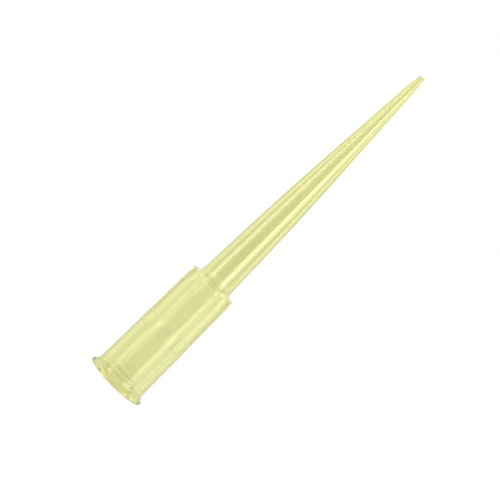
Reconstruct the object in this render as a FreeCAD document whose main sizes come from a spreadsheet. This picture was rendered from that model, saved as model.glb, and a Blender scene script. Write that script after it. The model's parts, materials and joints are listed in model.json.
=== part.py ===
import FreeCAD, Part
import math
import os
import Sketcher

# A 200 microlitre pipette tip, moulded in one piece. It stands on its mouth, with its axis on Z
# and its narrow end up. Lengths are in millimetres, and heights are measured from the mouth.

NODE = "tip_body"

# name: (value, what it is)
SIZES = {
    "tip_length": (51.0, "mouth to narrow end"),
    "collar_length": (16.50, "mouth to shoulder"),
    "collar_wall": (0.80, "wall round the socket, at the mouth"),
    "rim_overhang": (0.48, "how far the rim stands out from the collar"),
    "lip_height": (0.24, "straight edge of the rim"),
    "lip_round": (0.16, "rounding of the rim's lower edge"),
    "flare_radius": (1.10, "hollow sweep from the rim up to the collar"),
    "shoulder_width": (0.96, "step from the collar in to the cone"),
    "shoulder_round": (0.12, "rounding of the shoulder's outer edge"),
    "shoulder_fillet": (0.60, "hollow rounding between shoulder and cone"),
    "root_wall": (0.47, "wall of the cone at the shoulder"),
    "knee_height": (29.56, "where the cone starts to narrow faster"),
    "knee_wall": (0.485, "wall of the cone at the knee"),
    "knee_blend": (6.0, "length of the smooth bend, each side of the knee"),
    "bevel_length": (2.0, "steeper cone at the narrow end"),
    "bevel_diameter": (1.19, "outside diameter where that cone starts"),
    "end_wall": (0.12, "wall at the narrow end"),
    "mouth_bore": (6.40, "bore at the rim's face"),
    "lead_in_depth": (0.60, "depth of the entry cone"),
    "guide_bore": (5.60, "bore at the top of the entry cone"),
    "guide_depth": (1.33, "mouth to the first ring"),
    "guide_ring": (0.09, "how far the first ring steps in"),
    "guide_ring_length": (0.42, "height over which it does"),
    "socket_bore": (5.30, "bore that seals on the pipette's nozzle"),
    "socket_length": (5.85, "length of the sealing bore"),
    "ring": (0.07, "how far the second and third rings step in"),
    "ring_length": (0.12, "height over which each does"),
    "throat_length": (1.56, "funnel between the second and third rings"),
    "reservoir_bore": (4.76, "bore above the third ring"),
    "reservoir_top_bore": (4.57, "bore where the inner shoulder starts"),
    "inner_shoulder_below": (1.4, "that place, below the outer shoulder"),
    "root_bore": (3.60, "bore of the cone above the inner shoulder"),
    "inner_shoulder_above": (1.0, "that place, above the outer shoulder"),
    "inner_shoulder_round": (1.5, "rounding of the inner shoulder's two edges"),
    "knee_bore": (2.68, "bore at the knee"),
    "orifice_bore": (0.44, "bore at the narrow end"),
}

# Radii and heights that several corners share, worked out from the sheet.
SOCKET_RADIUS = "Sizes.socket_bore / 2"
COLLAR_FOOT_RADIUS = SOCKET_RADIUS + " + Sizes.collar_wall"
RIM_RADIUS = COLLAR_FOOT_RADIUS + " + Sizes.rim_overhang"
CONE_ROOT_RADIUS = "Sizes.root_bore / 2 + Sizes.root_wall"
SOCKET_START = "Sizes.guide_depth + Sizes.guide_ring_length"
SOCKET_END = SOCKET_START + " + Sizes.socket_length"
THROAT_START = SOCKET_END + " + Sizes.ring_length"
THROAT_END = THROAT_START + " + Sizes.throat_length"

# How a sketch names its own origin, its horizontal axis and an edge's two ends.
ORIGIN = (-1, 1)
MOUTH_PLANE = -1
START, END = 1, 2


class Corner:
    """A corner of the wall's section. Its radius and height are expressions on the sheet, and no
    height puts it on the mouth plane. It is sharp, or rounded to a radius, or blended over a
    length of both its sides. With a sweep it isn't on the section: the edge after it points at
    it, and an arc of that radius leads to that edge from the corner before."""

    def __init__(self, name, radius, height=None, rounding=None, blend=None, sweep=None):
        self.name = name
        self.radius = radius
        self.height = height
        self.rounding = rounding
        self.blend = blend
        self.sweep = sweep
        self.is_sharp = not (rounding or blend or sweep)

    def locate(self, sketch):
        """Works out where the corner is, in the sketch's plane."""
        height = sketch.evalExpression(self.height) if self.height else 0
        self.at = FreeCAD.Vector(float(sketch.evalExpression(self.radius)), float(height), 0)

    def shape(self, sketch, before, after):
        """Works out where the section comes in to the corner and goes out, and the arc between."""
        self.entry = self.exit = self.at
        if self.is_sharp:
            return
        onward = (after.at - self.at).normalize()
        if self.sweep:
            radius = float(sketch.evalExpression(self.sweep))
            outward = FreeCAD.Vector(onward.y, -onward.x, 0)
            from_axis = (before.at - self.at).dot(outward) - radius
            rise = math.sqrt(radius**2 - from_axis**2)
            along = (before.at - self.at).dot(onward) + rise
            self.entry = before.at
            self.exit = self.at + onward * along
            self.centre = self.exit + outward * radius
            return
        back = (before.at - self.at).normalize()
        half = back.getAngle(onward) / 2
        if self.rounding:
            reach = float(sketch.evalExpression(self.rounding)) / math.tan(half)
        else:
            reach = float(sketch.evalExpression(self.blend))
        self.entry = self.at + back * reach
        self.exit = self.at + onward * reach
        self.centre = self.at + (back + onward).normalize() * (reach / math.cos(half))


def tip_corners():
    """The wall's section: up the outside, then down the bore."""
    return [
        Corner("rim_lower", RIM_RADIUS, rounding="Sizes.lip_round"),
        Corner("rim_upper", RIM_RADIUS, "Sizes.lip_height"),
        Corner("collar_foot", COLLAR_FOOT_RADIUS, sweep="Sizes.flare_radius"),
        Corner(
            "collar_top",
            CONE_ROOT_RADIUS + " + Sizes.shoulder_width",
            "Sizes.collar_length",
            rounding="Sizes.shoulder_round",
        ),
        Corner(
            "cone_root",
            CONE_ROOT_RADIUS,
            "Sizes.collar_length",
            rounding="Sizes.shoulder_fillet",
        ),
        Corner(
            "cone_knee",
            "Sizes.knee_bore / 2 + Sizes.knee_wall",
            "Sizes.knee_height",
            blend="Sizes.knee_blend",
        ),
        Corner("bevel", "Sizes.bevel_diameter / 2", "Sizes.tip_length - Sizes.bevel_length"),
        Corner("end_outer", "Sizes.orifice_bore / 2 + Sizes.end_wall", "Sizes.tip_length"),
        Corner("orifice", "Sizes.orifice_bore / 2", "Sizes.tip_length"),
        Corner("bore_knee", "Sizes.knee_bore / 2", "Sizes.knee_height", blend="Sizes.knee_blend"),
        Corner(
            "bore_root",
            "Sizes.root_bore / 2",
            "Sizes.collar_length + Sizes.inner_shoulder_above",
            rounding="Sizes.inner_shoulder_round",
        ),
        Corner(
            "reservoir_top",
            "Sizes.reservoir_top_bore / 2",
            "Sizes.collar_length - Sizes.inner_shoulder_below",
            rounding="Sizes.inner_shoulder_round",
        ),
        Corner("reservoir", "Sizes.reservoir_bore / 2", THROAT_END + " + Sizes.ring_length"),
        Corner("throat_end", "Sizes.reservoir_bore / 2 + Sizes.ring", THROAT_END),
        Corner("throat_start", SOCKET_RADIUS + " - Sizes.ring", THROAT_START),
        Corner("socket_end", SOCKET_RADIUS, SOCKET_END),
        Corner("socket_start", SOCKET_RADIUS, SOCKET_START),
        Corner("guide_end", SOCKET_RADIUS + " + Sizes.guide_ring", "Sizes.guide_depth"),
        Corner("guide_start", "Sizes.guide_bore / 2", "Sizes.lead_in_depth"),
        Corner("mouth", "Sizes.mouth_bore / 2"),
    ]


def make_sheet(doc):
    """The spreadsheet of driving sizes, one row each: name, value, meaning."""
    sheet = doc.addObject("Spreadsheet::Sheet", "Sizes")
    for row, (name, (value, meaning)) in enumerate(SIZES.items(), start=1):
        sheet.set(f"A{row}", name)
        sheet.set(f"B{row}", str(value))
        sheet.set(f"C{row}", meaning)
        sheet.setAlias(f"B{row}", name)
    doc.recompute()


class Section:
    """The closed section of the wall, drawn in a sketch and tied to the sheet."""

    def __init__(self, sketch, corners):
        self.sketch = sketch
        self.corners = corners
        for corner in corners:
            corner.locate(sketch)
        for before, corner, after in zip(corners[-1:] + corners, corners, corners[1:] + corners):
            corner.shape(sketch, before, after)
        self.draw_edges()
        for index, corner in enumerate(corners):
            self.hold_corner(index, corner)

    def draw_edges(self):
        """Adds each corner's arc and the line from it to the next corner. An edge is kept as
        (geometry, the end it comes in by, the end it goes out by)."""
        self.arcs = {}
        self.lines = {}
        for index, corner in enumerate(self.corners):
            following = (index + 1) % len(self.corners)
            if not corner.is_sharp:
                self.arcs[index] = self.add_arc(corner)
            if not self.corners[following].sweep:
                line = Part.LineSegment(corner.exit, self.corners[following].entry)
                self.lines[index] = (self.sketch.addGeometry(line), START, END)

    def add_arc(self, corner):
        """Adds the corner's arc, which a sketch always keeps anticlockwise."""
        spoke_in = corner.entry - corner.centre
        spoke_out = corner.exit - corner.centre
        anticlockwise = spoke_in.cross(spoke_out).z > 0
        first, last = (spoke_in, spoke_out) if anticlockwise else (spoke_out, spoke_in)
        circle = Part.Circle(corner.centre, FreeCAD.Vector(0, 0, 1), spoke_in.Length)
        from_angle = math.atan2(first.y, first.x)
        to_angle = math.atan2(last.y, last.x)
        arc = self.sketch.addGeometry(Part.ArcOfCircle(circle, from_angle, to_angle))
        return (arc, START, END) if anticlockwise else (arc, END, START)

    def hold_corner(self, index, corner):
        """Joins the edges that meet at the corner, and ties its place and rounding to the sheet."""
        before = (index - 1) % len(self.corners)
        if corner.is_sharp:
            edge_in = self.lines[before]
            edge_out = self.lines.get(index) or self.arcs[index + 1]
            self.add("Coincident", edge_in[0], edge_in[2], edge_out[0], edge_out[1])
            self.tie_place(corner, edge_in[0], edge_in[2])
            return
        arc = self.arcs[index]
        line_out = self.lines[index]
        self.add("Tangent", arc[0], arc[2], line_out[0], line_out[1])
        point = self.sketch.addGeometry(Part.Point(corner.at), True)
        self.add("PointOnObject", point, START, line_out[0])
        self.tie_place(corner, point, START)
        if corner.sweep:
            self.tie("Radius", arc[0], corner.name + "_sweep", corner.sweep)
            return
        line_in = self.lines[before]
        self.add("Tangent", line_in[0], line_in[2], arc[0], arc[1])
        self.add("PointOnObject", point, START, line_in[0])
        if corner.rounding:
            self.tie("Radius", arc[0], corner.name + "_rounding", corner.rounding)
        else:
            blended = (point, START, arc[0], arc[1])
            self.tie("Distance", *blended, corner.name + "_blend", corner.blend)

    def tie_place(self, corner, geometry, end):
        """Ties a corner's radius and height to the sheet."""
        self.tie("DistanceX", *ORIGIN, geometry, end, corner.name + "_radius", corner.radius)
        if corner.height:
            self.tie("DistanceY", *ORIGIN, geometry, end, corner.name + "_height", corner.height)
        else:
            self.add("PointOnObject", geometry, end, MOUTH_PLANE)

    def add(self, kind, *what):
        return self.sketch.addConstraint(Sketcher.Constraint(kind, *what))

    def tie(self, kind, *what_name_expression):
        """Adds a dimension with a name of its own, whose value is an expression on the sheet."""
        *what, name, expression = what_name_expression
        index = self.add(kind, *what, float(self.sketch.evalExpression(expression)))
        self.sketch.renameConstraint(index, name)
        self.sketch.setExpression("Constraints." + name, expression)


def make_tip(doc):
    """The tip: its wall's section, revolved once round the Z axis."""
    body = doc.addObject("PartDesign::Body", NODE)
    body.Label = NODE
    sketch = body.newObject("Sketcher::SketchObject", "wall_section")
    upright = next(o for o in body.Origin.OriginFeatures if o.Role == "XZ_Plane")
    sketch.AttachmentSupport = [(upright, "")]
    sketch.MapMode = "FlatFace"
    doc.recompute()
    Section(sketch, tip_corners())
    doc.recompute()
    wall = body.newObject("PartDesign::Revolution", "wall")
    wall.Profile = sketch
    wall.ReferenceAxis = (sketch, ["V_Axis"])
    wall.Angle = 360
    sketch.Visibility = False
    doc.recompute()
    return body


def check(doc, body):
    """Stops before anything is written if a feature failed or the solid isn't sound."""
    failed = [o.Name for o in doc.Objects if {"Invalid", "Error"} & set(o.State)]
    if failed:
        raise RuntimeError("these features failed: " + ", ".join(failed))
    if not body.Group[0].FullyConstrained:
        raise RuntimeError("the section isn't fully constrained")
    if body.Shape.isNull() or not body.Shape.isValid() or len(body.Shape.Solids) != 1:
        raise RuntimeError("the tip isn't one sound solid")


def main():
    doc = FreeCAD.newDocument("pipette_tip")
    make_sheet(doc)
    body = make_tip(doc)
    check(doc, body)
    os.makedirs("parts", exist_ok=True)
    body.Shape.exportStep(os.path.join("parts", body.Label + ".step"))
    print(f"{body.Label}: {body.Shape.Volume:.2f} cubic mm, {len(body.Shape.Faces)} faces")


main()
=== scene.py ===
"""A translucent yellow pipette tip that stands on its mouth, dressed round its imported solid."""
import json
import math

import bpy
from mathutils import Matrix, Vector


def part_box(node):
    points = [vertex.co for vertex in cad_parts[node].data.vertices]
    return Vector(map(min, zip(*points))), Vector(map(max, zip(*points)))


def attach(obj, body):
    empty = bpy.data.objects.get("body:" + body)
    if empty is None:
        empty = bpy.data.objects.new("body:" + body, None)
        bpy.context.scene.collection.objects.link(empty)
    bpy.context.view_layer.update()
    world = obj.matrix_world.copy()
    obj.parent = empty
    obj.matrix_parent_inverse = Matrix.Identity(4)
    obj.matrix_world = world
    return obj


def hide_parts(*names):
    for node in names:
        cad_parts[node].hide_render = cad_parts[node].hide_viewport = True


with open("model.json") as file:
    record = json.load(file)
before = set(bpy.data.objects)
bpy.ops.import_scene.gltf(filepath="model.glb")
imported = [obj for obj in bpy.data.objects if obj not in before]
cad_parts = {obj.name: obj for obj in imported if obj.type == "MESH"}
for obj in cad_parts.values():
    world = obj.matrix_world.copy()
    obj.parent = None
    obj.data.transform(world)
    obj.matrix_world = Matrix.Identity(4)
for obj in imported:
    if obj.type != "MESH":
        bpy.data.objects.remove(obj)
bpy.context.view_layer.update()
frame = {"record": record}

MM = 0.001
NODE = "tip_body"


# ---------------------------------------------------------------- sizes of the wall, in millimetres

def mount(name):
    return next(m for m in frame["record"]["mounts"] if m["name"] == name)


BOX_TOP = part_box(NODE)[1]
TIP_LENGTH = BOX_TOP.z / MM
RIM_RADIUS = BOX_TOP.x / MM
SHOULDER_HEIGHT = mount("shoulder_face")["pos_m"][2] / MM
SOCKET_RADIUS = mount("nozzle_socket")["dims"]["r_mm"]
SOCKET_MIDDLE = mount("nozzle_socket")["pos_m"][2] / MM
SOCKET_LENGTH = mount("nozzle_socket")["dims"]["length_mm"]
SOCKET_START = SOCKET_MIDDLE - SOCKET_LENGTH / 2
SOCKET_END = SOCKET_MIDDLE + SOCKET_LENGTH / 2

# The rest of the outside, as the solid has it.
RIM_OVERHANG = 0.48
LIP_HEIGHT = 0.24
LIP_ROUND = 0.16
FLARE_RADIUS = 1.10
SHOULDER_WIDTH = 0.96
SHOULDER_ROUND = 0.12
SHOULDER_FILLET = 0.60
CONE_ROOT_RADIUS = 2.27
KNEE_HEIGHT = 29.56
KNEE_RADIUS = 1.825
KNEE_BLEND = 6.0
BEVEL_LENGTH = 2.0
BEVEL_RADIUS = 0.595
END_RADIUS = 0.34

# The rest of the bore, as the solid has it.
MOUTH_RADIUS = 3.20
LEAD_IN_DEPTH = 0.60
GUIDE_RADIUS = 2.80
GUIDE_DEPTH = 1.33
GUIDE_RING = 0.09
RING = 0.07
RING_LENGTH = 0.12
THROAT_LENGTH = 1.56
RESERVOIR_RADIUS = 2.38
RESERVOIR_TOP_RADIUS = 2.285
INNER_SHOULDER_BELOW = 1.4
INNER_SHOULDER_ABOVE = 1.0
INNER_SHOULDER_ROUND = 1.5
ROOT_BORE_RADIUS = 1.80
KNEE_BORE_RADIUS = 1.34
ORIFICE_RADIUS = 0.22
THROAT_START = SOCKET_END + RING_LENGTH
THROAT_END = THROAT_START + THROAT_LENGTH

# Roundings of the scene's own, where the solid has sharp edges.
BEVEL_ROUND = 2.0
END_ROUND = 0.03
RING_ROUND = 0.15
SOCKET_ROUND = 0.3
GUIDE_ROUND = 0.2
MOUTH_ROUND = 0.1

# How fine the mesh is: one step of an arc, the steps of a blend, how far a straight run's extra
# points are from its ends, the run that is too short for them, and the steps round the axis.
ARC_STEP = math.radians(7)
BLEND_STEPS = 24
SUPPORT = 0.03
SHORTEST_RUN = 4 * SUPPORT
ROUND_SEGMENTS = 256


# ---------------------------------------------------------------- the wall

def arc(centre, start, turn, steps):
    """Points of an arc round the centre from the start. A positive turn is anticlockwise."""
    spoke = start - centre
    return [centre + Matrix.Rotation(turn * i / steps, 2) @ spoke for i in range(steps + 1)]


def rounded(before, corner, after, radius=None, reach=None):
    """Points of the arc that rounds a corner, to a radius or over a length of both sides."""
    back = (before - corner).normalized()
    onward = (after - corner).normalized()
    half = back.angle(onward) / 2
    turn = math.pi - 2 * half
    steps = BLEND_STEPS
    if radius is not None:
        reach = radius / math.tan(half)
        steps = max(4, math.ceil(turn / ARC_STEP))
    centre = corner + (back + onward).normalized() * (reach / math.cos(half))
    sense = 1 if back.cross(onward) < 0 else -1
    return arc(centre, corner + back * reach, sense * turn, steps)


def flare(lip, foot, top):
    """Points of the arc that sweeps from the lip on to the collar's side, which runs from foot to
    top and which it meets without a corner."""
    onward = (top - foot).normalized()
    outward = Vector((onward.y, -onward.x))
    rise = math.sqrt(FLARE_RADIUS**2 - ((lip - foot).dot(outward) - FLARE_RADIUS) ** 2)
    meets = foot + onward * ((lip - foot).dot(onward) + rise)
    centre = meets + outward * FLARE_RADIUS
    turn = (lip - centre).angle(meets - centre)
    sense = 1 if (lip - centre).cross(meets - centre) > 0 else -1
    return arc(centre, lip, sense * turn, math.ceil(turn / ARC_STEP))


def outside_corners():
    """The outside, going up: (radius, height) and how the corner is rounded, if it is."""
    lip = Vector((RIM_RADIUS, LIP_HEIGHT))
    foot = Vector((RIM_RADIUS - RIM_OVERHANG, 0))
    collar_top = Vector((CONE_ROOT_RADIUS + SHOULDER_WIDTH, SHOULDER_HEIGHT))
    return [
        ((RIM_RADIUS, 0), dict(radius=LIP_ROUND)),
        *[(point, None) for point in flare(lip, foot, collar_top)],
        (collar_top, dict(radius=SHOULDER_ROUND)),
        ((CONE_ROOT_RADIUS, SHOULDER_HEIGHT), dict(radius=SHOULDER_FILLET)),
        ((KNEE_RADIUS, KNEE_HEIGHT), dict(reach=KNEE_BLEND)),
        ((BEVEL_RADIUS, TIP_LENGTH - BEVEL_LENGTH), dict(radius=BEVEL_ROUND)),
        ((END_RADIUS, TIP_LENGTH), dict(radius=END_ROUND)),
    ]


def bore_corners():
    """The bore, going down."""
    inner_shoulder = dict(radius=INNER_SHOULDER_ROUND)
    ring = dict(radius=RING_ROUND)
    return [
        ((ORIFICE_RADIUS, TIP_LENGTH), dict(radius=END_ROUND)),
        ((KNEE_BORE_RADIUS, KNEE_HEIGHT), dict(reach=KNEE_BLEND)),
        ((ROOT_BORE_RADIUS, SHOULDER_HEIGHT + INNER_SHOULDER_ABOVE), inner_shoulder),
        ((RESERVOIR_TOP_RADIUS, SHOULDER_HEIGHT - INNER_SHOULDER_BELOW), inner_shoulder),
        ((RESERVOIR_RADIUS, THROAT_END + RING_LENGTH), ring),
        ((RESERVOIR_RADIUS + RING, THROAT_END), ring),
        ((SOCKET_RADIUS - RING, THROAT_START), ring),
        ((SOCKET_RADIUS, SOCKET_END), ring),
        ((SOCKET_RADIUS, SOCKET_START), dict(radius=SOCKET_ROUND)),
        ((SOCKET_RADIUS + GUIDE_RING, GUIDE_DEPTH), dict(radius=GUIDE_ROUND)),
        ((GUIDE_RADIUS, LEAD_IN_DEPTH), dict(radius=GUIDE_ROUND)),
        ((MOUTH_RADIUS, 0), dict(radius=MOUTH_ROUND)),
    ]


def section():
    """The closed section of the wall, up the outside and down the bore: points, each with the
    number of the material that follows it."""
    corners = [(*corner, 0) for corner in outside_corners()]
    corners += [(*corner, 1) for corner in bore_corners()]
    places = [Vector(place) for place, _, _ in corners]
    points = []
    for index, (_, rounding, material) in enumerate(corners):
        place, after = places[index], places[(index + 1) % len(places)]
        bend = rounded(places[index - 1], place, after, **rounding) if rounding else [place]
        points += [(point, material) for point in bend]
    return points


def supported(points):
    """The section with a point more near both ends of each straight run, so that the shading of
    the arcs beside the run doesn't spread along it."""
    full = []
    for index, (point, material) in enumerate(points):
        run = points[(index + 1) % len(points)][0] - point
        full.append((point, material))
        if run.length > SHORTEST_RUN:
            step = run.normalized() * SUPPORT
            full += [(point + step, material), (point + run - step, material)]
    return full


def lathe(name, points):
    """A closed mesh: the section turned round the Z axis."""
    count = len(points)
    vertices = []
    for turn in range(ROUND_SEGMENTS):
        angle = 2 * math.pi * turn / ROUND_SEGMENTS
        across, deep = MM * math.cos(angle), MM * math.sin(angle)
        vertices += [(r * across, r * deep, z * MM) for (r, z), _ in points]
    faces = []
    for turn in range(ROUND_SEGMENTS):
        near, far = turn * count, (turn + 1) % ROUND_SEGMENTS * count
        for i in range(count):
            j = (i + 1) % count
            faces.append((near + i, far + i, far + j, near + j))
    mesh = bpy.data.meshes.new(name)
    mesh.from_pydata(vertices, [], faces)
    mesh.shade_smooth()
    for face in mesh.polygons:
        face.material_index = points[face.index % count][1]
    piece = bpy.data.objects.new(name, mesh)
    bpy.context.scene.collection.objects.link(piece)
    return piece


# ---------------------------------------------------------------- nodes

class Nodes:
    """Adds nodes to a tree, each with its settings, its inputs' values and its links."""

    def __init__(self, owner):
        owner.use_nodes = True
        self.tree = owner.node_tree

    def add(self, kind, inputs=(), **settings):
        node = self.tree.nodes.new("ShaderNode" + kind)
        for key, value in settings.items():
            setattr(node, key, value)
        for key, value in dict(inputs).items():
            self.set(node.inputs[key], value)
        return node

    def set(self, socket, value):
        if isinstance(value, bpy.types.NodeSocket):
            self.tree.links.new(value, socket)
        else:
            socket.default_value = value


# ---------------------------------------------------------------- material

# Each material drifts between a pale and a deep colour, and the bore's are almost clear. The
# noise's scales are per metre, and are drawn out along the tip for the flow lines.
OUTSIDE_COLOURS = (0.75, 0.755, 0.31), (0.72, 0.725, 0.28)
BORE_COLOURS = (1.0, 1.0, 1.0), (0.98, 0.98, 0.96)
REFRACTION = 1.49
ROUGHNESS = (0.03, 0.09)
GLOSS_SCALE = 900.0
DRIFT_SCALE = 160.0
FLOW_SCALE = (2200.0, 2200.0, 90.0)
FLOW_STRENGTH = 0.15
FLOW_DEPTH = 0.00002


def plastic(name, pale, deep):
    """Clear yellow polypropylene as moulded: a smooth skin whose gloss is slightly uneven, with
    fine flow lines along the tip and a slow drift of colour from pale to deep."""
    material = bpy.data.materials.new(name)
    nodes = Nodes(material)
    place = nodes.add("TexCoord").outputs["Object"]
    mottle = nodes.add("TexNoise", {"Vector": place, "Scale": GLOSS_SCALE, "Detail": 3.0})
    gloss = nodes.add("MapRange", {"Value": mottle.outputs["Fac"]})
    nodes.set(gloss.inputs["To Min"], ROUGHNESS[0])
    nodes.set(gloss.inputs["To Max"], ROUGHNESS[1])
    drift = nodes.add("TexNoise", {"Vector": place, "Scale": DRIFT_SCALE, "Detail": 1.0})
    colour = nodes.add("Mix", {"Factor": drift.outputs["Fac"]}, data_type="RGBA")
    nodes.set(colour.inputs[6], (*pale, 1))
    nodes.set(colour.inputs[7], (*deep, 1))
    drawn = nodes.add("Mapping", {"Vector": place, "Scale": FLOW_SCALE})
    flow = nodes.add("TexNoise", {"Vector": drawn.outputs["Vector"], "Scale": 1.0, "Detail": 2.0})
    bump = nodes.add("Bump", {"Height": flow.outputs["Fac"]})
    nodes.set(bump.inputs["Strength"], FLOW_STRENGTH)
    nodes.set(bump.inputs["Distance"], FLOW_DEPTH)
    shader = nodes.tree.nodes["Principled BSDF"]
    nodes.set(shader.inputs["Base Color"], colour.outputs[2])
    nodes.set(shader.inputs["Roughness"], gloss.outputs["Result"])
    nodes.set(shader.inputs["Normal"], bump.outputs["Normal"])
    nodes.set(shader.inputs["Transmission Weight"], 1.0)
    nodes.set(shader.inputs["IOR"], REFRACTION)
    return material


tip = lathe("moulded_tip", supported(section()))
tip.data.materials.append(plastic("plastic_outside", *OUTSIDE_COLOURS))
tip.data.materials.append(plastic("plastic_bore", *BORE_COLOURS))
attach(tip, "root")
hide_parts(NODE)


# ---------------------------------------------------------------- stage, light and camera

# The floor and the two patches under the mouth, in millimetres: radius, height, how much of the
# light it throws back, and its own glow. The two patches are painted light: a glowing pool of
# yellow light inside the mouth, and the tip's painted shadow round it.
FLOOR = dict(radius=30000, height=-0.02, grey=0.3, glow=(0.8, 0.8, 0.8))
# A painted pool of the yellow light that comes through the tip: a glowing disc under the mouth that
# the camera doesn't see.
PAINTED_MOUTH_LIGHT = dict(radius=3.9, height=-0.05, grey=0.1, glow=(0.75, 0.75, 0.46))
# The tip's painted shadow round the mouth: a disc that glows dimmer than the studio's light and
# that the camera doesn't see.
PAINTED_MOUTH_SHADOW = dict(radius=8.0, height=-0.06, grey=0.1, glow=(0.62, 0.62, 0.45))
DISC_SEGMENTS = 64


def matt(name, grey, glow):
    """A dull surface that also gives light of its own."""
    material = bpy.data.materials.new(name)
    nodes = Nodes(material)
    shader = nodes.tree.nodes["Principled BSDF"]
    nodes.set(shader.inputs["Base Color"], (grey, grey, grey, 1))
    nodes.set(shader.inputs["Roughness"], 0.9)
    nodes.set(shader.inputs["Specular IOR Level"], 0.0)
    nodes.set(shader.inputs["Emission Color"], (*glow, 1))
    nodes.set(shader.inputs["Emission Strength"], 1.0)
    return material


def disc(name, radius, height, grey, glow):
    """A disc of floor, of its own matt material."""
    turns = [2 * math.pi * i / DISC_SEGMENTS for i in range(DISC_SEGMENTS)]
    points = [(radius * MM * math.cos(a), radius * MM * math.sin(a), height * MM) for a in turns]
    mesh = bpy.data.meshes.new(name)
    mesh.from_pydata(points, [], [range(DISC_SEGMENTS)])
    mesh.materials.append(matt(name, grey, glow))
    piece = bpy.data.objects.new(name, mesh)
    bpy.context.scene.collection.objects.link(piece)
    return piece


def make_floor():
    """A pale floor that only the camera sees, so that the tip's wall shows the studio instead. The
    wall's mouth also shows two glowing patches under it that the camera doesn't see: a painted pool
    of the yellow light inside the mouth, and the tip's painted soft shadow round it."""
    floor = disc("floor", **FLOOR)
    floor.visible_transmission = floor.visible_glossy = False
    floor.visible_diffuse = floor.visible_shadow = False
    # The painted pool of yellow light inside the mouth.
    disc("painted_light_inside_mouth", **PAINTED_MOUTH_LIGHT).visible_camera = False
    # The painted shadow round the mouth.
    disc("painted_shadow_round_mouth", **PAINTED_MOUTH_SHADOW).visible_camera = False


# The light round the tip, in two rings: what the bright table sends up, and the darker room above
# it. Directions are from the tip. Each ring's edges are spans of the cosine of the azimuth from
# the back, over which one brightness goes over into the next. A softbox is upright: its azimuth
# from the camera toward +X, its half width and its soft edge in degrees, and its strength. The one
# at the back takes light away, as a black flag does, so that the tip's sides have darker edges.
# Softboxes and flag show only where the wall mirrors them, and not through the wall.
TABLE = dict(
    front=1.58, side=1.1, back=0.84, front_edge=(0.03, 0.57), back_edge=(0.81, 0.99),
    softboxes=[(48, 9, 8, 1.8), (-55, 0, 12, 1.8), (84, 0, 14.5, 1.25), (180, 8, 10, -0.15)],
)
ROOM = dict(
    front=0.55, side=2.5, back=0.92, front_edge=(-0.1, 0.0), back_edge=(-0.6, 1.0),
    softboxes=[(46, 15, 8, 4.6), (-53, 4, 10, 4.0), (180, 8, 10, -0.2)],
)
# Sines of the elevation: where the table goes over into the room, and where the room's softboxes
# end.
TABLE_EDGE = (-0.087, -0.017)
SOFTBOX_TOP = (0.18, 0.34)
# What comes through the wall from the camera's side of the studio is plain light, so that the tip
# keeps its colour when it is seen from behind: the edge of that side, as a cosine, and the light.
PLAIN_EDGE = (-0.15, 0.0)
PLAIN_LIGHT = 0.9


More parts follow.
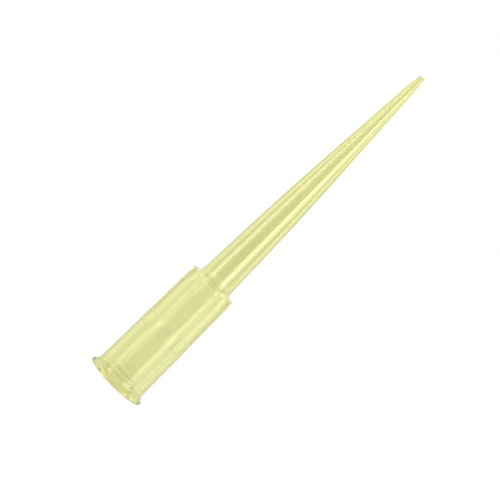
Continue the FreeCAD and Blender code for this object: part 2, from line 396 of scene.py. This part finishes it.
def make_world():
    """The studio that the tip sees. The camera sees plain white past the tip."""
    world = bpy.data.worlds.new("studio")
    nodes = Nodes(world)
    toward = nodes.add("TexCoord").outputs["Generated"]
    level = nodes.add("VectorMath", {0: toward, 1: (1, 1, 0)}, operation="MULTIPLY").outputs[0]
    level = nodes.add("VectorMath", {0: level}, operation="NORMALIZE").outputs[0]
    height = nodes.add("SeparateXYZ", {0: toward}).outputs["Z"]
    path = nodes.add("LightPath").outputs

    def ramp(value, start, end, low, high):
        limits = {"Value": value, "From Min": start, "From Max": end, "To Min": low, "To Max": high}
        return nodes.add("MapRange", limits, interpolation_type="SMOOTHSTEP").outputs["Result"]

    def along(x, y):
        product = nodes.add("VectorMath", {0: level, 1: (x, y, 0)}, operation="DOT_PRODUCT")
        return product.outputs["Value"]

    def combine(operation, a, b):
        return nodes.add("Math", {0: a, 1: b}, operation=operation).outputs[0]

    from_back = along(0, 1)
    mirrored = combine("GREATER_THAN", path["Glossy Depth"], 0.5)

    def ring(front, side, back, front_edge, back_edge, softboxes, fade):
        front_to_side = ramp(from_back, *front_edge, front, side)
        light = combine("ADD", front_to_side, ramp(from_back, *back_edge, 0, back - side))
        for azimuth, half_width, edge, strength in softboxes:
            a = math.radians(azimuth)
            outer = math.cos(math.radians(half_width + edge))
            inner = math.cos(math.radians(half_width))
            box = ramp(along(math.sin(a), -math.cos(a)), outer, inner, 0, strength)
            light = combine("ADD", light, combine("MULTIPLY", box, fade))
        return light

    table = ring(**TABLE, fade=mirrored)
    table = combine("MULTIPLY", table, ramp(height, *TABLE_EDGE, 1, 0))
    room = ring(**ROOM, fade=combine("MULTIPLY", mirrored, ramp(height, *SOFTBOX_TOP, 1, 0)))
    room = combine("MULTIPLY", room, ramp(height, *TABLE_EDGE, 0, 1))
    light = combine("ADD", table, room)

    through = combine("SUBTRACT", 1, mirrored)
    plain = combine("MULTIPLY", through, ramp(from_back, *PLAIN_EDGE, 1, 0))
    light = ramp(plain, 0, 1, light, PLAIN_LIGHT)

    white = (1, 1, 1, 1)
    studio = nodes.add("Background", {"Color": white, "Strength": light}).outputs[0]
    backdrop = nodes.add("Background", {"Color": white}).outputs[0]
    view = nodes.add("MixShader", {0: path["Is Camera Ray"], 1: studio, 2: backdrop}).outputs[0]
    nodes.set(nodes.tree.nodes["World Output"].inputs["Surface"], view)
    bpy.context.scene.world = world


# The camera, in metres. The photograph shows the tip leaning, so the camera is rolled.
CAMERA_PLACE = Vector((0.000137, -0.228, 0.04185))
CAMERA_AIM = Vector((0.000137, 0, 0.02244))
CAMERA_ROLL = math.radians(45.24)
CAMERA_LENS = 139.7
# Light crosses the wall many times at its rings and edges.
BOUNCES = 64


def make_camera():
    camera = bpy.data.objects.new("camera", bpy.data.cameras.new("camera"))
    camera.data.lens = CAMERA_LENS
    camera.data.clip_start, camera.data.clip_end = 0.01, 100
    upright = (CAMERA_AIM - CAMERA_PLACE).to_track_quat("-Z", "Y").to_matrix()
    roll = Matrix.Rotation(CAMERA_ROLL, 3, "Z")
    camera.matrix_world = Matrix.Translation(CAMERA_PLACE) @ (upright @ roll).to_4x4()
    bpy.context.scene.collection.objects.link(camera)
    bpy.context.scene.camera = camera


make_floor()
make_world()
make_camera()
bpy.context.scene.view_settings.view_transform = "Standard"
cycles = bpy.context.scene.cycles
cycles.max_bounces = cycles.glossy_bounces = cycles.transmission_bounces = BOUNCES
